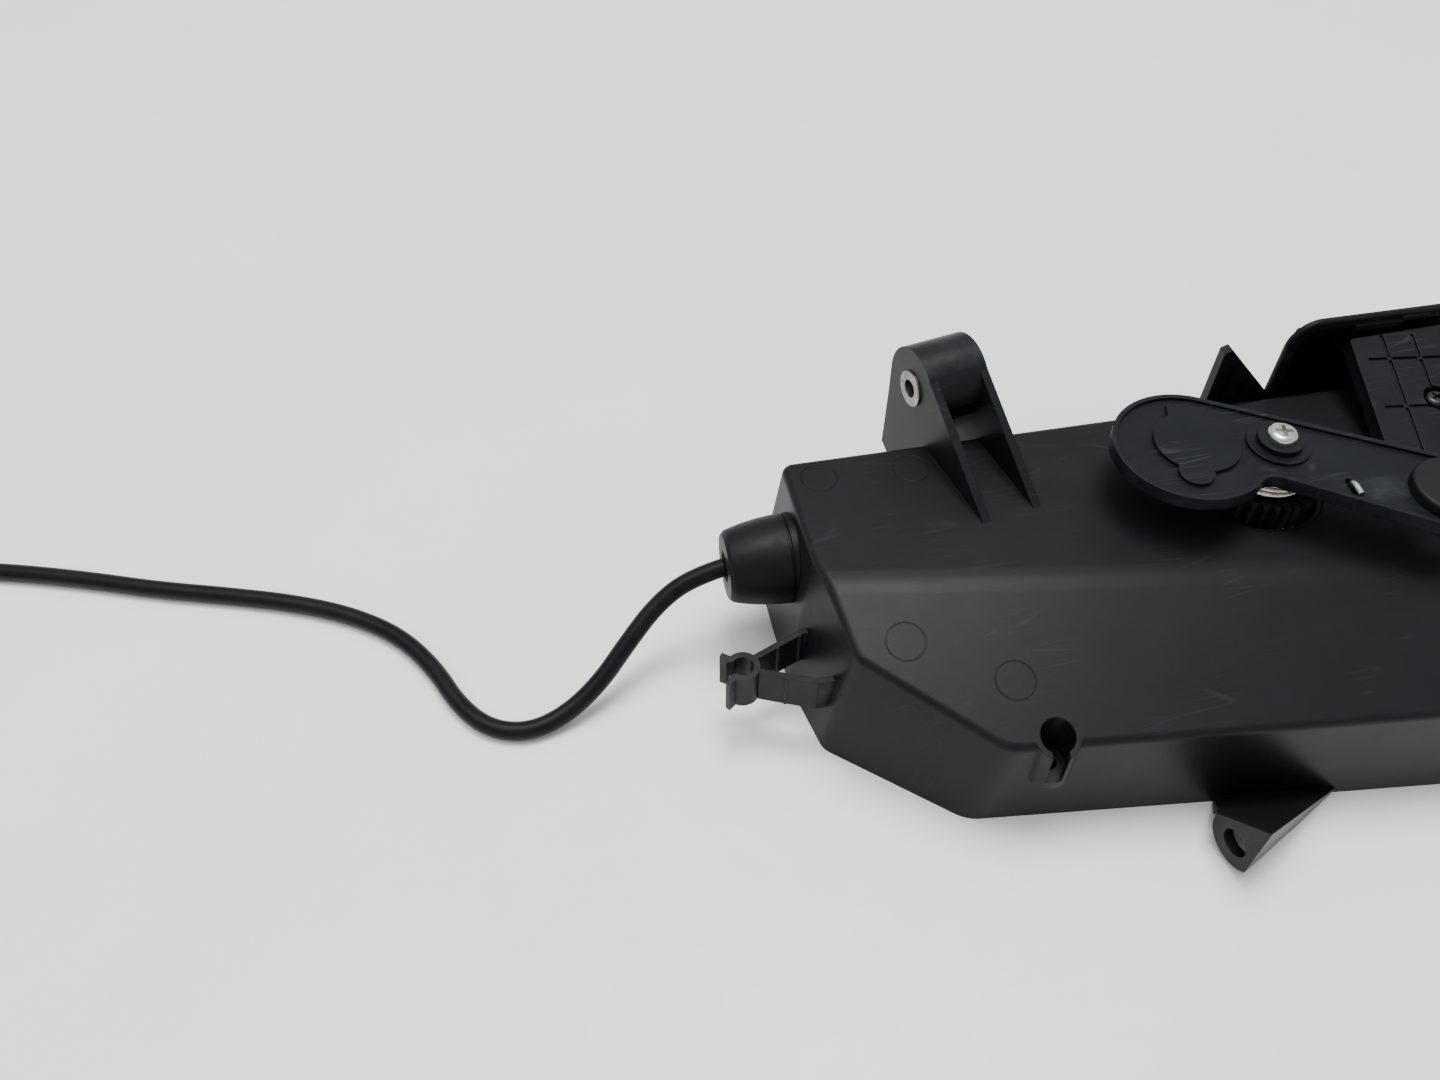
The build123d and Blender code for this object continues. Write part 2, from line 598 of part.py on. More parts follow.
def motor_screws():
    """Two small screws that hold the motor on its plate."""
    screws = []
    x = plate_a_x + plate_t
    for side in (1, -1):
        z = screw_z + side * 8
        screws.append(cylinder_x(2.4, x, x + 1.6, motor_y, z) + cylinder_x(1.2, x - 4.0, x, motor_y, z))
    return Compound(screws)


def far_block():
    """Bearing block at the screw's far end, which also holds the guide rod."""
    body = block(block_x0, block_x1, -54, -20, base_t, 32)
    body -= cylinder_x(5.0, block_x0 - 1, block_x1 + 1, screw_y, screw_z)
    return body - cylinder_x(rod_r, block_x0 - 1, block_x1 + 1, rod_y, rod_z)


def screw_bushes():
    """Bronze bushes that carry the lead screw."""
    spans = ((plate_a_x, plate_a_x + plate_t), (plate_b_x, plate_b_x + plate_t), (block_x0, block_x1))
    bushes = []
    for x0, x1 in spans:
        bush = cylinder_x(5.0, x0, x1, screw_y, screw_z)
        bushes.append(bush - cylinder_x(journal_r + run_gap, x0 - 1, x1 + 1, screw_y, screw_z))
    return Compound(bushes)


def lead_screw():
    """Screw body between two turned-down journals; the thread is left as its outer cylinder."""
    shaft = cylinder_x(journal_r, -64, block_x1 + 2, screw_y, screw_z)
    return shaft + cylinder_x(screw_r, plate_b_x + plate_t + 0.5, block_x0 - 0.5, screw_y, screw_z)


# ---- carriage ------------------------------------------------------------------------------------
def carriage_block():
    """Moulded carriage on the screw and the guide rod, with a step that carries the rack."""
    body = block(-carriage_half, carriage_half, -54, -15.5, 10, 32)
    body += block(-carriage_half, carriage_half, -30, -15.5, 31, 35)
    body -= cylinder_x(7.0, -carriage_half - 1, carriage_half + 1, screw_y, screw_z)
    body -= cylinder_x(4.5, -carriage_half - 1, carriage_half + 1, rod_y, rod_z)
    for x in (-12.0, 12.0):
        body -= cylinder(1.0, 24, 36, (x, -19.4))
    return body


def lead_nut():
    """Bronze nut pressed into the carriage."""
    nut = cylinder_x(7.0, -carriage_half, carriage_half, screw_y, screw_z)
    return nut - cylinder_x(screw_r + run_gap, -carriage_half - 1, carriage_half + 1, screw_y, screw_z)


def guide_bush():
    """Plain bush between the carriage and the guide rod."""
    bush = cylinder_x(4.5, -carriage_half, carriage_half, rod_y, rod_z)
    return bush - cylinder_x(rod_r + run_gap, -carriage_half - 1, carriage_half + 1, rod_y, rod_z)


def rack():
    """Rack with a gap between two teeth opposite the pinion's middle tooth."""
    z0, z1 = 35.0, 44.0
    pitch_y = -pinion_r
    tip_y, root_y = pitch_y + pinion_m, pitch_y - 1.25 * pinion_m
    tooth_pitch = pi * pinion_m
    count = 14
    half = count * tooth_pitch / 2
    spread = tan(radians(20))
    points = [(-half, rack_back_y), (-half, root_y)]
    for k in range(count):
        x = (k - count / 2 + 0.5) * tooth_pitch
        at_root = tooth_pitch / 4 - backlash / 2 + (pitch_y - root_y) * spread
        at_tip = tooth_pitch / 4 - backlash / 2 - (tip_y - pitch_y) * spread
        points += [(x - at_root, root_y), (x - at_tip, tip_y), (x + at_tip, tip_y), (x + at_root, root_y)]
    points += [(half, root_y), (half, rack_back_y)]
    bar = extrude(make_face(Polyline(*[(x, y, z0) for x, y in points], close=True)), z1 - z0)
    for x in (-12.0, 12.0):
        bar -= cylinder(1.3, z0 - 1, z1 + 1, (x, -19.4))
        bar -= cylinder(2.1, z1 - 2.0, z1 + 1, (x, -19.4))
    return bar


def rack_screws():
    """Two screws that hold the rack on the carriage."""
    screws = []
    for x in (-12.0, 12.0):
        screws.append(cylinder(2.0, 42.0, 43.8, (x, -19.4)) + cylinder(1.0, 26.0, 42.0, (x, -19.4)))
    return Compound(screws)


# ---- switches and board --------------------------------------------------------------------------
def switch_body(x0, x1):
    """Small limit switch standing on the base plate."""
    body = block(x0, x1, -44.4, -31.6, base_t, 15.0)
    return body - cylinder_x(1.3, x0 - 1, x1 + 1, -38.0, 12.2)


def control_board():
    """Board on its four posts, with its terminal block."""
    board = block(-116, -68, 8.5, 32, board_z, board_z + 1.6)
    for x in (-112.0, -72.0):
        for y in (12.5, 28.5):
            board -= cylinder(1.2, board_z - 1, board_z + 2, (x, y))
    return board


def board_parts():
    """Capacitor, relay and driver on the board."""
    low = board_z + 1.6
    relay = block(-95, -80, 18, 30, low, low + 12)
    capacitor = cylinder(4.0, low, low + 12, (-100, 27))
    driver = block(-94, -84, 9.6, 15, low, low + 2)
    return Compound([relay, capacitor, driver])


# ---- lever ---------------------------------------------------------------------------------------
def lever_outline():
    """Outline of the lever in its own frame: counterweight lobe, waist, arm and round end."""
    lobe = Pos(*lobe_at) * Circle(lobe_r)
    end = Pos(arm_length, 0) * Circle(arm_end_r)
    arm = make_face(Polyline((lobe_at[0] - 0.7, lobe_at[1] + lobe_r),
                             (arm_length - 0.7, arm_end_r), (arm_length, -arm_end_r),
                             (-1.0, -arm_half - 1.2), (-10.0, -20.0), close=True))
    plan = lobe + end + arm
    waist = plan.vertices().sort_by_distance((0.0, -arm_half - 1.2, 0))
    inner = [v for v in waist if v.Y < -arm_half and abs(v.X) < 4][:1]
    return fillet(inner, 4.5) if inner else plan


def lever_arm():
    """Lever moulding: thin plate with a raised rim, lobe pad, stepped hub and spring slot."""
    plan = lever_outline()
    plate = extrude(Pos(0, 0, lever_z0) * plan, lever_z1 - lever_z0 - rim_h)
    rim = extrude(Pos(0, 0, lever_z0) * plan, lever_z1 - lever_z0)
    rim -= extrude(Pos(0, 0, lever_z0 - 1) * offset(plan, -rim_w), 10)
    lever = plate + rim
    floor = lever_z1 - rim_h
    pad = Pos(-20.4, -9.3) * Circle(11.8) + Pos(-18.4, -21.4) * Circle(4.8)
    pad += Pos(-24.0, -1.8) * Rot(0, 0, 18) * Rectangle(11.0, 13.0)
    lever += extrude(Pos(0, 0, floor - 0.5) * (pad & offset(plan, -rim_w - 0.6)), 1.7)
    lever += cylinder(8.6, floor - 0.5, floor + 1.0)
    lever += cylinder(6.2, floor, floor + 2.8)
    lever += cylinder(hub_r, pinion_z1 + 0.2, lever_z0 + 1)
    lever += cylinder(arm_end_r - 0.4, lever_z0, floor, (arm_length, 0))
    lever -= cylinder(swivel_r + swivel_gap, lever_z0 - 1, lever_z1 + 2, (arm_length, 0))
    lever -= cylinder(shaft_r, pinion_z1 - 1, floor + 1.0)
    lever -= cylinder(2.1, floor, floor + 4)
    slot = Rot(0, 0, slot_turn) * SlotOverall(slot_l, slot_w)
    lever -= extrude(Pos(*slot_at, lever_z0 - 1) * slot, 8)
    return Rot(0, 0, arm_rest) * lever


def torsion_spring():
    """Two turns of spring wire round the hub, and the leg that hooks up through the lever."""
    coils = []
    for z in spring_z:
        coils.append(Pos(0, 0, z) * Torus(spring_r, spring_wire_r))
    away = atan2(leg_up[1], leg_up[0])
    reach = Vector(*leg_up).length
    touch = away - acos(spring_r / reach)
    level = spring_z[-1] + 2 * spring_wire_r + 0.2
    over = lever_z1 - rim_h + spring_wire_r + 0.2
    path = FilletPolyline((spring_r * cos(touch), spring_r * sin(touch), level), (*leg_up, level + 0.2),
                          (leg_up[0] + 0.1, leg_up[1] - 0.2, over), (*leg_end, over), radius=1.2)
    leg = sweep(Plane(path @ 0, z_dir=path % 0) * Circle(spring_wire_r), path=path)
    return Rot(0, 0, arm_rest) * Compound(coils + [leg])


def end_swivel():
    """Round boss that turns in the lever's end and takes the driven link's pin."""
    boss = cylinder(swivel_r, lever_z0 - 0.2, lever_z1 + 2.3, (arm_length, 0))
    boss = fillet(boss.edges().group_by(Axis.Z)[-1], 0.8)
    boss += cylinder(12.6, lever_z0 - 1.8, lever_z0 - 0.2, (arm_length, 0))
    boss -= cylinder(swivel_bore_r, 40, 80, (arm_length, 0))
    return Rot(0, 0, arm_rest) * boss


# ---- cable ---------------------------------------------------------------------------------------
def cable_radii():
    """Arc radius at each corner of the cable's route."""
    points = [Vector(*p) for p in cable_route]
    radii = []
    for before, here, after in zip(points, points[1:], points[2:]):
        a, b = here - before, after - here
        turn = radians(a.get_angle(b))
        radii.append(0.45 * min(a.length, b.length) / tan(turn / 2))
    return radii


def coil_solid():
    """Outer form of the wound-up cable: a flat ring with rounded edges."""
    ring = cylinder(coil_r + coil_half, 0, 2 * cable_d, coil_at)
    ring -= cylinder(coil_r - coil_half, -1, 2 * cable_d + 1, coil_at)
    return fillet(ring.edges().filter_by(GeomType.CIRCLE), 2.2)


def cable(ring):
    """Cable from the gland to the coil."""
    path = FilletPolyline(*cable_route, radius=cable_radii())
    tube = sweep(Plane(path @ 0, z_dir=path % 0) * Circle(cable_d / 2), path=path)
    return tube - ring


def tail_point(along, height):
    """Point on the line where the cable leaves the coil, measured from below the coil's middle."""
    a = radians(tail_heading)
    foot = Vector(coil_at[0], coil_at[1]) + Vector(sin(a), -cos(a)) * coil_r
    spot = foot + Vector(cos(a), sin(a)) * along
    return (spot.X, spot.Y, height)


def tail_tube(ring):
    """Short end of the cable from the coil to its connector."""
    path = Line(tail_point(6, floor_z), tail_point(tail_length, floor_z))
    tube = sweep(Plane(path @ 0, z_dir=path % 0) * Circle(cable_d / 2), path=path)
    return tube - ring


def plug_body():
    """Moulded in-line connector on the end of the cable."""
    shell = Box(plug_length, plug_width, plug_height)
    shell = fillet(shell.edges().filter_by(Axis.X), 1.2)
    shell -= Pos(plug_length / 2 - 3, 0, 0) * Box(6.1, plug_width - 2.4, plug_height - 2.4)
    latch = Pos(-1.0, 0, plug_height / 2 + 0.5) * Box(9.0, 4.0, 1.0)
    shell += latch
    at = tail_point(tail_length + plug_length / 2, plug_height / 2)
    return Pos(*at) * Rot(0, 0, tail_heading) * shell


def plug_pins():
    """Five contact pins inside the connector."""
    pins = []
    for i in range(5):
        pins.append(Pos(plug_length / 2 - 3, (i - 2) * 1.6, 0) * Box(6.0, 0.6, 0.6))
    at = tail_point(tail_length + plug_length / 2, plug_height / 2)
    return Pos(*at) * Rot(0, 0, tail_heading) * Compound(pins)


# ---- everything in its place ---------------------------------------------------------------------
cover, cover_form = main_cover()
nodes["main_cover"] = cover
nodes["base_plate"] = base_plate()
nodes["base_screws"] = base_screws()
nodes["cable_gland"] = cable_gland(cover_form)
nodes["gland_lock_ring"] = (cylinder_x(12.0, -125.4, -122.0, gland_y, gland_z)
                            - cylinder_x(gland_neck_r, -140, -118, gland_y, gland_z) - cover)
nodes["cable_clip"] = cable_clip(cover_form)
nodes["ear_insert"] = ear_insert()
nodes["rear_frame"] = rear_frame()
nodes["frame_brace"] = frame_brace()
nodes["ribbed_panel"] = ribbed_panel()
nodes["panel_screws"] = Compound([
    pan_screw(x, y, panel_z(x, y) - 1.6, 3.2, 2.0, 1.5, panel_z(x, y) - 1.6 - 49)
    for x, y in panel_screws_at])
nodes["pivot_bushes"] = Compound([
    cylinder(5.5, z, z + 6) - cylinder(shaft_r + run_gap, z - 1, z + 7)
    for z in (base_t + 1.5, tower_top - 6)])
nodes["motor_can"] = motor_can()
nodes["motor_end_cap"] = motor_end_cap()
nodes["motor_magnets"] = motor_magnets()
nodes["motor_plate"] = gear_plate(plate_a_x, True)
nodes["screw_plate"] = gear_plate(plate_b_x, False)
nodes["motor_screws"] = motor_screws()
nodes["screw_bushes"] = screw_bushes()
nodes["far_bearing_block"] = far_block()
nodes["guide_rod"] = cylinder_x(rod_r, plate_b_x, block_x1, rod_y, rod_z)
nodes["limit_switch_left"] = switch_body(-36.0, -30.0)
nodes["limit_switch_right"] = switch_body(30.8, 36.8)
nodes["control_board"] = control_board()
nodes["board_parts"] = board_parts()
nodes["board_terminal"] = block(-115, -103, 9.2, 18.6, board_z + 1.6, gland_z + 5)
nodes["board_screws"] = Compound([
    cylinder(1.9, board_z + 1.6, board_z + 3.2, (x, y)) + cylinder(0.95, board_z - 8, board_z + 1.6, (x, y))
    for x, y in ((-112.0, 28.5), (-72.0, 12.5), (-72.0, 28.5))])
nodes["inner_cable"] = cylinder_x(cable_d / 2, gland_face_x + 1.0, -115.0, gland_y, gland_z)

nodes["motor_armature"] = motor_armature()
nodes["motor_shaft"] = cylinder_x(1.15, motor_x0 - 4.5, gear_x1 + 0.6, motor_y, screw_z)
nodes["motor_pinion"] = Pos(0, motor_y, screw_z) * x_gear(motor_teeth, 1.15, 180 / motor_teeth)
nodes["lead_screw"] = lead_screw()
nodes["screw_gear"] = Pos(0, screw_y, screw_z) * x_gear(screw_teeth, journal_r, 0)

nodes["carriage"] = carriage_block()
nodes["lead_nut"] = lead_nut()
nodes["guide_bush"] = guide_bush()
nodes["rack"] = rack()
nodes["rack_screws"] = rack_screws()
nodes["switch_plunger_left"] = cylinder_x(1.2, -33.0, -27.2, -38.0, 12.2)
nodes["switch_plunger_right"] = cylinder_x(1.2, 28.3, 34.0, -38.0, 12.2)

nodes["lever_arm"] = lever_arm()
nodes["torsion_spring"] = torsion_spring()
nodes["pinion"] = Rot(0, 0, -90) * spur_gear(pinion_m, pinion_teeth, pinion_z0, pinion_z1, shaft_r)
nodes["pivot_shaft"] = (cylinder(shaft_r, base_t + 2.0, lever_z1 - rim_h + 0.9)
                        - cylinder(2.0, lever_z1 - 14, lever_z1 + 2))
nodes["lever_screw"] = Rot(0, 0, arm_rest) * pan_screw(0, 0, lever_z1 - rim_h + 2.8, 4.05, 2.6, 2.0, 12.4)
nodes["end_swivel"] = end_swivel()

ring = coil_solid()
nodes["cable"] = cable(ring)
nodes["cable_coil"] = ring
nodes["cable_tail"] = tail_tube(ring)
nodes["plug_shell"] = plug_body()
nodes["plug_pins"] = plug_pins()

for name, shape in nodes.items():
    export_step(shape, "parts/" + name + ".step")
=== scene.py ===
import json
import math

import bpy
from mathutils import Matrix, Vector


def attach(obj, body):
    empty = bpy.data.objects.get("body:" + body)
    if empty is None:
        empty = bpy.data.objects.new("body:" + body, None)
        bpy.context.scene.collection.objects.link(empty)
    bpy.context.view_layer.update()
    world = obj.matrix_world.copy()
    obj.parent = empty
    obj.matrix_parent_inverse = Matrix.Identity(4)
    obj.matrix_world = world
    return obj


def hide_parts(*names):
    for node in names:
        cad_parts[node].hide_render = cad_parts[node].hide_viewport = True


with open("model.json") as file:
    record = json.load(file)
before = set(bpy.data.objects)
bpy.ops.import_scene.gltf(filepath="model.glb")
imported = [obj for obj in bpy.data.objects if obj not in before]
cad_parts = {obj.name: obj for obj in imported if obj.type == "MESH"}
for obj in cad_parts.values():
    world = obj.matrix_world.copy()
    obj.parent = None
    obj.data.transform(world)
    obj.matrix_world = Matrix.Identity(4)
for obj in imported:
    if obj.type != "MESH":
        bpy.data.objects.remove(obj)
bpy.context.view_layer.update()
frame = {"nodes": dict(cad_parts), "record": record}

MM = 0.001

# ---- camera --------------------------------------------------------------------------------------
camera_at = Vector((-0.1950, -0.1979, 0.2820))
camera_toward = Vector((0.1277, 0.6567, -0.7431))
sensor_width = 36.0                 # both in millimetres
focal_length = 28.75
near_clip = 0.01


def make_camera():
    """Camera above and in front of the cable gland, looking down at 48 degrees."""
    data = bpy.data.cameras.new("camera")
    data.sensor_width = sensor_width
    data.lens = focal_length
    data.clip_start = near_clip
    camera = bpy.data.objects.new("camera", data)
    bpy.context.collection.objects.link(camera)
    camera.location = camera_at
    camera.rotation_mode = "QUATERNION"
    camera.rotation_quaternion = camera_toward.to_track_quat("-Z", "Y")
    bpy.context.scene.camera = camera


make_camera()

# ---- cable ---------------------------------------------------------------------------------------
cable_d = 5.5 * MM
floor_z = cable_d / 2
route = [(-0.1524, 0.0139, 0.0305), (-0.1630, 0.0136, 0.0280), (-0.1735, 0.0098, 0.0228),
         (-0.1829, 0.0030, 0.0165), (-0.1925, -0.0043, 0.0090), (-0.2033, -0.0099, 0.0040),
         (-0.2146, -0.0130, floor_z), (-0.2256, -0.0094, floor_z), (-0.2338, 0.0007, floor_z),
         (-0.2398, 0.0145, floor_z), (-0.2498, 0.0287, floor_z), (-0.2639, 0.0396, floor_z),
         (-0.2816, 0.0481, floor_z), (-0.3027, 0.0553, floor_z), (-0.3248, 0.0621, floor_z),
         (-0.3466, 0.0704, floor_z), (-0.3696, 0.0780, floor_z), (-0.3918, 0.0838, floor_z),
         (-0.4123, 0.0888, floor_z)]
coil_at = Vector((-0.4366, 0.0630))
coil_r = 0.030
coil_turns = 3.5
points_per_turn = 16
first_step = 2                      # the coil begins past the end of the straight run
crossing_from, crossing_span = 0.78, 0.22   # part of a turn in which the cable changes layer
line_turn = math.radians(-11.0)     # heading of the cable's end, away from the coil
tail_length = 0.040
plug_height = 0.007
# distance from the coil's foot and height, for each point of the tail
tail_profile = ((0.010, 0.0083), (0.019, 0.0078), (0.028, 0.0042), (tail_length, plug_height / 2))
tube_steps = 10
tube_sides = 6


def coil_layer(turn):
    """Radius and height of the cable's middle after so many turns: out, in, up, then out again."""
    outer_r, inner_r = coil_r + cable_d / 2, coil_r - cable_d / 2
    corners = [(outer_r, floor_z), (inner_r, floor_z),
               (inner_r, floor_z + cable_d), (outer_r, floor_z + cable_d)]
    last = len(corners) - 1
    index = min(int(turn), last)
    share = max(0.0, (turn - index - crossing_from) / crossing_span) if index < last else 0.0
    near, far = corners[index], corners[min(index + 1, last)]
    ease = share * share * (3 - 2 * share)
    return tuple(a + (b - a) * ease for a, b in zip(near, far))


def coil_points():
    """Points of the wound-up length, turn by turn."""
    start = line_turn + math.pi / 2
    points = []
    for step in range(first_step, int(coil_turns * points_per_turn) + 1):
        turn = step / points_per_turn
        radius, height = coil_layer(turn)
        angle = start + 2 * math.pi * turn
        points.append((coil_at.x + radius * math.cos(angle),
                       coil_at.y + radius * math.sin(angle), height))
    return points


def tail_points():
    """The cable's end, which runs off the top of the coil and comes down to the connector."""
    along = Vector((math.cos(line_turn), math.sin(line_turn)))
    foot = coil_at + Vector((along.y, -along.x)) * coil_r
    points = []
    for reach, height in tail_profile:
        spot = foot + along * reach
        points.append((spot.x, spot.y, height))
    return points


def tube_curve(name, points, diameter):
    """A round wire or cable: one smooth open spline with a bevel, sized by its points' radius."""
    data = bpy.data.curves.new(name, "CURVE")
    data.dimensions = "3D"
    data.resolution_u = tube_steps
    data.bevel_depth = 1.0
    data.bevel_resolution = tube_sides
    data.use_fill_caps = True
    spline = data.splines.new("NURBS")
    spline.points.add(len(points) - 1)
    for point, spot in zip(spline.points, points):
        point.co = (*spot, 1.0)
        point.radius = diameter / 2
    spline.order_u = 3
    spline.use_endpoint_u = True
    curve = bpy.data.objects.new(name, data)
    bpy.context.collection.objects.link(curve)
    return curve


cable = tube_curve("signal_cable", route + coil_points() + tail_points(), cable_d)
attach(cable, "housing")
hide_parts("cable", "cable_coil", "cable_tail")

# ---- lever spring --------------------------------------------------------------------------------
arm_rest = math.radians(-36.0)
spring_r = 10.6 * MM
wire_d = 1.7 * MM
coil_low, coil_high = 54.5 * MM, 58.4 * MM
spring_turns = 2.15
leg_up, leg_end = Vector((19.7, -7.4)) * MM, Vector((22.3, -11.8)) * MM
leg_z = 65.2 * MM                   # the leg lies just above the lever's plate
spring_steps = 34
leg_lift = 0.2 * MM                 # of the leg over the top turn
bend_low, bend_high = 1.4 * MM, 1.0 * MM    # straight lengths at the leg's two bends


def torsion_spring():
    """Wound wire round the hub, ending in a leg that hooks up through the lever's slot."""
    reach = leg_up.length
    touch = math.atan2(leg_up.y, leg_up.x) - math.acos(spring_r / reach)
    points = []
    for step in range(spring_steps + 1):
        share = step / spring_steps
        angle = touch - 2 * math.pi * spring_turns * (1 - share)
        points.append(Vector((spring_r * math.cos(angle), spring_r * math.sin(angle),
                              coil_low + (coil_high - coil_low) * share)))
    rise = leg_up.to_3d() + Vector((0, 0, coil_high + leg_lift))
    over = leg_up.to_3d() + Vector((0, 0, leg_z))
    end = leg_end.to_3d() + Vector((0, 0, leg_z))
    points += [points[-1].lerp(rise, 0.5), rise.lerp(points[-1], 0.1),
               rise + Vector((0, 0, bend_low)), over - Vector((0, 0, bend_high)),
               over.lerp(end, 0.22), over.lerp(end, 0.6), end]
    turn = [(p.x * math.cos(arm_rest) - p.y * math.sin(arm_rest),
             p.x * math.sin(arm_rest) + p.y * math.cos(arm_rest), p.z) for p in points]
    return tube_curve("lever_torsion_spring", turn, wire_d)


spring = torsion_spring()
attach(spring, "lever")
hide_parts("torsion_spring")


# ---- materials -----------------------------------------------------------------------------------
class Nodes:
    """Short hand for building one material's node tree."""

    def __init__(self, name):
        self.material = bpy.data.materials.new(name)
        self.material.use_nodes = True
        self.tree = self.material.node_tree
        self.shader = self.tree.nodes["Principled BSDF"]
        self.place = self.tree.nodes.new("ShaderNodeTexCoord").outputs["Object"]

    def link(self, output, socket):
        self.tree.links.new(output, socket)

    def mapped(self, scale):
        node = self.tree.nodes.new("ShaderNodeMapping")
        node.inputs["Scale"].default_value = scale
        self.link(self.place, node.inputs["Vector"])
        return node.outputs["Vector"]

    def noise(self, size, detail=3.0, roughness=0.55, stretch=(1, 1, 1), distortion=0.0):
        """Noise whose features are about size metres across."""
        node = self.tree.nodes.new("ShaderNodeTexNoise")
        node.inputs["Scale"].default_value = 1.0 / size
        node.inputs["Detail"].default_value = detail
        node.inputs["Roughness"].default_value = roughness
        node.inputs["Distortion"].default_value = distortion
        self.link(self.mapped(stretch), node.inputs["Vector"])
        return node.outputs["Fac"]

    def span(self, value, low, high, to_low=0.0, to_high=1.0):
        node = self.tree.nodes.new("ShaderNodeMapRange")
        node.inputs["From Min"].default_value = low
        node.inputs["From Max"].default_value = high
        node.inputs["To Min"].default_value = to_low
        node.inputs["To Max"].default_value = to_high
        self.link(value, node.inputs["Value"])
        return node.outputs["Result"]

    def math(self, kind, a, b):
        node = self.tree.nodes.new("ShaderNodeMath")
        node.operation = kind
        for socket, value in zip(node.inputs, (a, b)):
            if isinstance(value, (int, float)):
                socket.default_value = value
            else:
                self.link(value, socket)
        return node.outputs["Value"]

    def mix(self, factor, a, b):
        """Colour mix; a and b are colours or outputs."""
        node = self.tree.nodes.new("ShaderNodeMix")
        node.data_type = "RGBA"
        self.link(factor, node.inputs["Factor"])
        for socket, value in ((node.inputs[6], a), (node.inputs[7], b)):
            if isinstance(value, tuple):
                socket.default_value = (*value, 1.0)
            else:
                self.link(value, socket)
        return node.outputs[2]

    def bump(self, height, distance, strength, after=None):
        node = self.tree.nodes.new("ShaderNodeBump")
        node.inputs["Strength"].default_value = strength
        node.inputs["Distance"].default_value = distance
        self.link(height, node.inputs["Height"])
        if after is not None:
            self.link(after, node.inputs["Normal"])
        return node.outputs["Normal"]

    def edges(self, radius):
        """Softly rounded edges for the shading."""
        node = self.tree.nodes.new("ShaderNodeBevel")
        node.samples = 4
        node.inputs["Radius"].default_value = radius
        return node.outputs["Normal"]

    def worn_edge(self, low, high):
        """One on sharp convex edges, nought elsewhere."""
        node = self.tree.nodes.new("ShaderNodeNewGeometry")
        return self.span(node.outputs["Pointiness"], low, high)

    def scratches(self, turn, size, width):
        """Sparse thin straight marks that run one way."""
        node = self.tree.nodes.new("ShaderNodeMapping")
        node.inputs["Rotation"].default_value = (0, 0, turn)
        node.inputs["Scale"].default_value = (0.06, 1.0, 0.25)
        self.link(self.place, node.inputs["Vector"])
        voronoi = self.tree.nodes.new("ShaderNodeTexVoronoi")
        voronoi.feature = "DISTANCE_TO_EDGE"
        voronoi.inputs["Scale"].default_value = 1.0 / size
        self.link(node.outputs["Vector"], voronoi.inputs["Vector"])
        line = self.span(voronoi.outputs["Distance"], 0.0, width, 1.0, 0.0)
        patch = self.span(self.noise(0.018, 2.0), 0.52, 0.66)
        return self.math("MULTIPLY", line, patch)


plastic_shine = 0.13
plastic_ior, rubber_ior = 1.5, 1.48
scratch_rough = 0.18                # roughness that a scratch adds


def plastic(name, dark, light, rough, grain, scuffs, edge):
    """Moulded plastic: mottled colour, spark-eroded grain, handling scuffs and softened edges."""
    n = Nodes(name)
    cloud = n.span(n.noise(0.022, detail=4.0, roughness=0.6), 0.30, 0.72)
    colour = n.mix(cloud, dark, light)
    marks = n.math("MAXIMUM", n.scratches(turn=0.45, size=0.0045, width=0.022),
                   n.scratches(turn=-1.1, size=0.0060, width=0.016))
    marks = n.math("MULTIPLY", marks, scuffs)
    pale = tuple(min(1.0, 3.2 * value + 0.02) for value in light)
    colour = n.mix(marks, colour, pale)
    uneven = n.span(n.noise(0.006), 0.40, 0.65, to_low=0.1, to_high=0.6)
    wear = n.math("MULTIPLY", n.worn_edge(0.58, 0.70), uneven)
    colour = n.mix(wear, colour, pale)
    n.link(colour, n.shader.inputs["Base Color"])
    patches = n.noise(0.012, detail=5.0, roughness=0.65)
    patchy = n.span(patches, 0.3, 0.7, to_low=rough - 0.02, to_high=rough + 0.03)
    dulled = n.math("ADD", patchy, n.math("MULTIPLY", marks, scratch_rough))
    n.link(dulled, n.shader.inputs["Roughness"])
    fine = n.noise(0.00042, detail=2.0, roughness=0.5)
    coarse = n.noise(0.0026, detail=2.0, roughness=0.5)
    relief = n.math("ADD", fine, n.math("MULTIPLY", coarse, 0.6))
    n.link(n.bump(relief, 0.00006, grain, n.edges(edge)), n.shader.inputs["Normal"])
    n.shader.inputs["IOR"].default_value = plastic_ior
    n.shader.inputs["Specular IOR Level"].default_value = plastic_shine
    return n.material


def rubber(name, dark, light, rough, grain, size):
    """Rubber or cable jacket: faint bloom and a slightly uneven skin."""
    n = Nodes(name)
    bloom = n.span(n.noise(0.009, detail=4.0, roughness=0.6), 0.35, 0.7)
    n.link(n.mix(bloom, dark, light), n.shader.inputs["Base Color"])
    patchy = n.span(n.noise(0.004), 0.3, 0.7, to_low=rough - 0.05, to_high=rough + 0.08)
    n.link(patchy, n.shader.inputs["Roughness"])
    skin = n.math("ADD", n.noise(size), n.noise(size * 7, detail=2.0))
    n.link(n.bump(skin, 0.00008, grain, n.edges(0.0004)), n.shader.inputs["Normal"])
    n.shader.inputs["IOR"].default_value = rubber_ior
    n.shader.inputs["Specular IOR Level"].default_value = plastic_shine
    return n.material


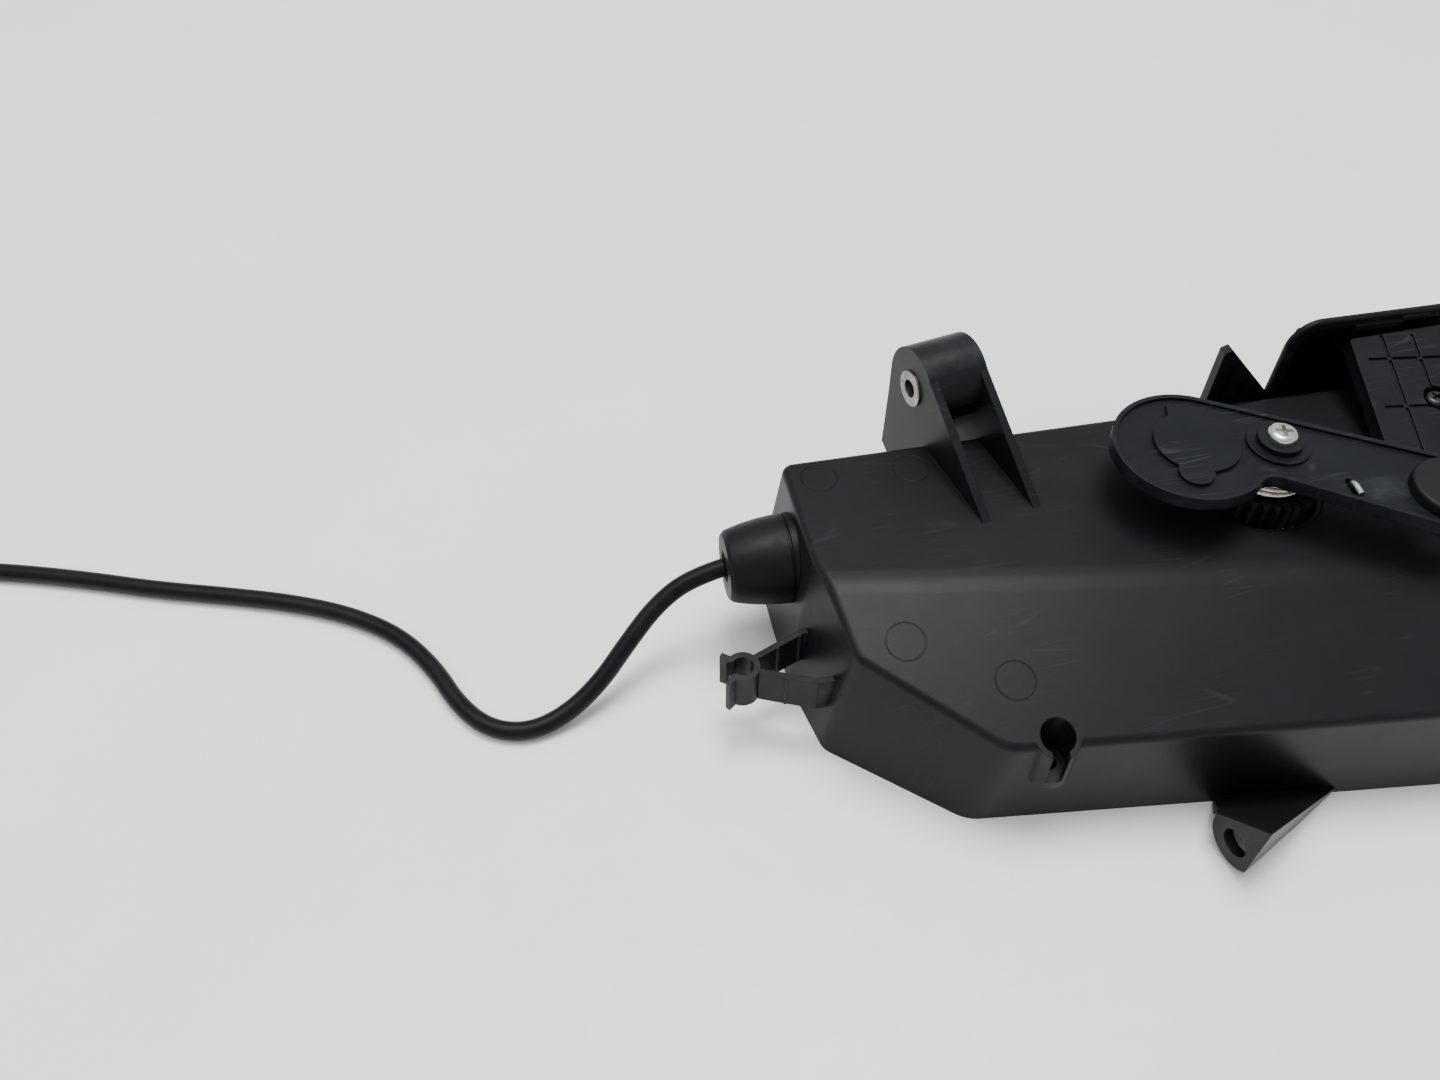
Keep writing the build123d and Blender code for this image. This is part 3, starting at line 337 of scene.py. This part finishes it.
def metal(name, dark, light, rough, stretch):
    """Metal with directional finishing marks and slight tarnish."""
    n = Nodes(name)
    n.shader.inputs["Metallic"].default_value = 1.0
    tarnish = n.span(n.noise(0.003, detail=4.0, roughness=0.6), 0.35, 0.65)
    n.link(n.mix(tarnish, dark, light), n.shader.inputs["Base Color"])
    lines = n.noise(0.0005, roughness=0.6, stretch=stretch)
    finish = n.span(lines, 0.3, 0.7, to_low=rough - 0.06, to_high=rough + 0.10)
    n.link(finish, n.shader.inputs["Roughness"])
    n.link(n.bump(lines, 0.00003, 0.25, n.edges(0.0002)), n.shader.inputs["Normal"])
    return n.material


def circuit_board(name):
    """Green solder mask with faint copper tracks under it."""
    n = Nodes(name)
    tracks = n.span(n.noise(0.004, detail=0.0, roughness=0.5, distortion=1.5), 0.49, 0.51)
    mask, over_copper = (0.010, 0.075, 0.030), (0.020, 0.14, 0.055)
    n.link(n.mix(tracks, mask, over_copper), n.shader.inputs["Base Color"])
    gloss = n.span(n.noise(0.002), 0.3, 0.7, to_low=0.22, to_high=0.34)
    n.link(gloss, n.shader.inputs["Roughness"])
    n.link(n.bump(tracks, 0.00003, 0.6), n.shader.inputs["Normal"])
    return n.material


black, blue_black = (0.0064, 0.0066, 0.0076), (0.0078, 0.0081, 0.0096)
even = (1, 1, 1)
# dark and light colour, roughness, grain, scuffs, edge radius
plastics = {
    "housing_plastic": (black, blue_black, 0.38, 0.30, 0.16, 0.0005),
    "frame_plastic": ((0.0042, 0.0044, 0.0050), (0.0070, 0.0074, 0.0084), 0.40, 0.35, 0.30, 0.0005),
    "panel_plastic": ((0.0044, 0.0045, 0.0056), (0.0075, 0.0077, 0.0096), 0.42, 0.45, 0.35, 0.0005),
    "lever_plastic": ((0.0042, 0.0050, 0.0068), (0.0070, 0.0080, 0.0106), 0.38, 0.40, 0.60, 0.0004),
    "swivel_plastic": ((0.0075, 0.0075, 0.0075), (0.012, 0.012, 0.012), 0.45, 0.4, 0.4, 0.0004),
    "pinion_plastic": ((0.0040, 0.0040, 0.0045), (0.0070, 0.0070, 0.0075), 0.38, 0.3, 0.2, 0.0001),
    "clip_plastic": ((0.0050, 0.0052, 0.0060), (0.0085, 0.0088, 0.0100), 0.38, 0.3, 0.3, 0.0003),
    "dark_plastic": ((0.016, 0.016, 0.017), (0.026, 0.026, 0.028), 0.52, 0.5, 0.2, 0.0003),
    "switch_plastic": ((0.03, 0.03, 0.035), (0.05, 0.05, 0.055), 0.48, 0.4, 0.2, 0.0002),
    "gear_plastic": ((0.62, 0.60, 0.54), (0.74, 0.72, 0.66), 0.42, 0.3, 0.1, 0.0002),
    "plunger_plastic": ((0.50, 0.06, 0.04), (0.62, 0.09, 0.05), 0.38, 0.3, 0.1, 0.0002),
    "terminal_plastic": ((0.62, 0.60, 0.50), (0.72, 0.69, 0.60), 0.45, 0.3, 0.1, 0.0003),
    "plug_plastic": ((0.014, 0.014, 0.015), (0.024, 0.024, 0.026), 0.42, 0.4, 0.3, 0.0004),
}
# dark and light colour, roughness, grain, size of the skin's unevenness
rubbers = {
    "gland_rubber": ((0.0042, 0.0042, 0.0048), (0.0075, 0.0075, 0.0082), 0.45, 0.45, 0.0005),
    "cable_jacket": ((0.0042, 0.0042, 0.0048), (0.0075, 0.0075, 0.0082), 0.34, 0.25, 0.0012),
}
# dark and light colour, roughness, stretch of the finishing marks
metals = {
    "insert_metal": ((0.16, 0.155, 0.15), (0.34, 0.33, 0.32), 0.42, even),
    "screw_steel": ((0.55, 0.53, 0.49), (0.74, 0.72, 0.69), 0.24, (1, 1, 6)),
    "black_screw": ((0.03, 0.03, 0.032), (0.06, 0.06, 0.062), 0.38, even),
    "ground_steel": ((0.46, 0.46, 0.47), (0.60, 0.60, 0.61), 0.26, (0.1, 1, 1)),
    "spring_steel": ((0.52, 0.49, 0.44), (0.80, 0.77, 0.71), 0.22, (1, 1, 3)),
    "motor_steel": ((0.42, 0.42, 0.43), (0.55, 0.55, 0.56), 0.34, (0.2, 1, 1)),
    "bronze": ((0.42, 0.28, 0.12), (0.56, 0.40, 0.20), 0.40, even),
    "copper": ((0.40, 0.16, 0.07), (0.55, 0.25, 0.12), 0.34, even),
    "magnet": ((0.06, 0.06, 0.065), (0.10, 0.10, 0.105), 0.55, even),
    "contact_metal": ((0.58, 0.47, 0.22), (0.72, 0.60, 0.32), 0.26, even),
}
finishes = {}
for make, looks in ((plastic, plastics), (rubber, rubbers), (metal, metals)):
    for name, look in looks.items():
        finishes[name] = make(name, *look)
finishes["board"] = circuit_board("board")


def dress(thing, finish):
    """Gives a piece one material in every slot."""
    thing.data.materials.clear()
    thing.data.materials.append(finishes[finish])


for part in frame["record"]["subparts"]:
    dress(frame["nodes"][part["node"]], part["material_slot"])
dress(cable, "cable_jacket")
dress(spring, "spring_steel")


# ---- floor and light -----------------------------------------------------------------------------
floor_size = 4.0
pale_floor, paler_floor = (0.83, 0.825, 0.80), (0.88, 0.875, 0.85)
sky_colour, sky_strength = (0.86, 0.89, 0.93, 1.0), 0.80


def make_floor():
    """Pale table top, a little uneven in tone."""
    bpy.ops.mesh.primitive_plane_add(size=floor_size, location=(0, 0, 0))
    floor = bpy.context.object
    floor.name = "table_top"
    n = Nodes("table_top")
    tone = n.span(n.noise(0.15), 0.3, 0.7)
    n.link(n.mix(tone, pale_floor, paler_floor), n.shader.inputs["Base Color"])
    gloss = n.span(n.noise(0.01, detail=4.0), 0.3, 0.7, to_low=0.42, to_high=0.55)
    n.link(gloss, n.shader.inputs["Roughness"])
    streaks = n.noise(0.0030, roughness=0.6, stretch=(1, 0.45, 1))
    grain = n.math("ADD", n.noise(0.0011, detail=2.0), streaks)
    n.link(n.bump(grain, 0.00018, 0.35), n.shader.inputs["Normal"])
    floor.data.materials.append(n.material)


def area_light(name, at, toward, size, power, colour):
    """A square soft light."""
    data = bpy.data.lights.new(name, "AREA")
    data.shape = "SQUARE"
    data.size = size
    data.energy = power
    data.color = colour
    light = bpy.data.objects.new(name, data)
    bpy.context.collection.objects.link(light)
    light.location = at
    light.rotation_mode = "QUATERNION"
    light.rotation_quaternion = (Vector(toward) - Vector(at)).to_track_quat("-Z", "Y")


make_floor()
area_light("back_right", at=(0.15, 0.50, 2.5), toward=(0, 0, 0), size=1.0, power=66,
           colour=(1.0, 0.985, 0.96))
area_light("overhead", at=(-0.7, 0.1, 2.0), toward=(-0.1, 0, 0), size=1.6, power=26,
           colour=(0.96, 0.98, 1.0))
world = bpy.data.worlds.new("studio")
world.use_nodes = True
world.node_tree.nodes["Background"].inputs["Color"].default_value = sky_colour
world.node_tree.nodes["Background"].inputs["Strength"].default_value = sky_strength
bpy.context.scene.world = world
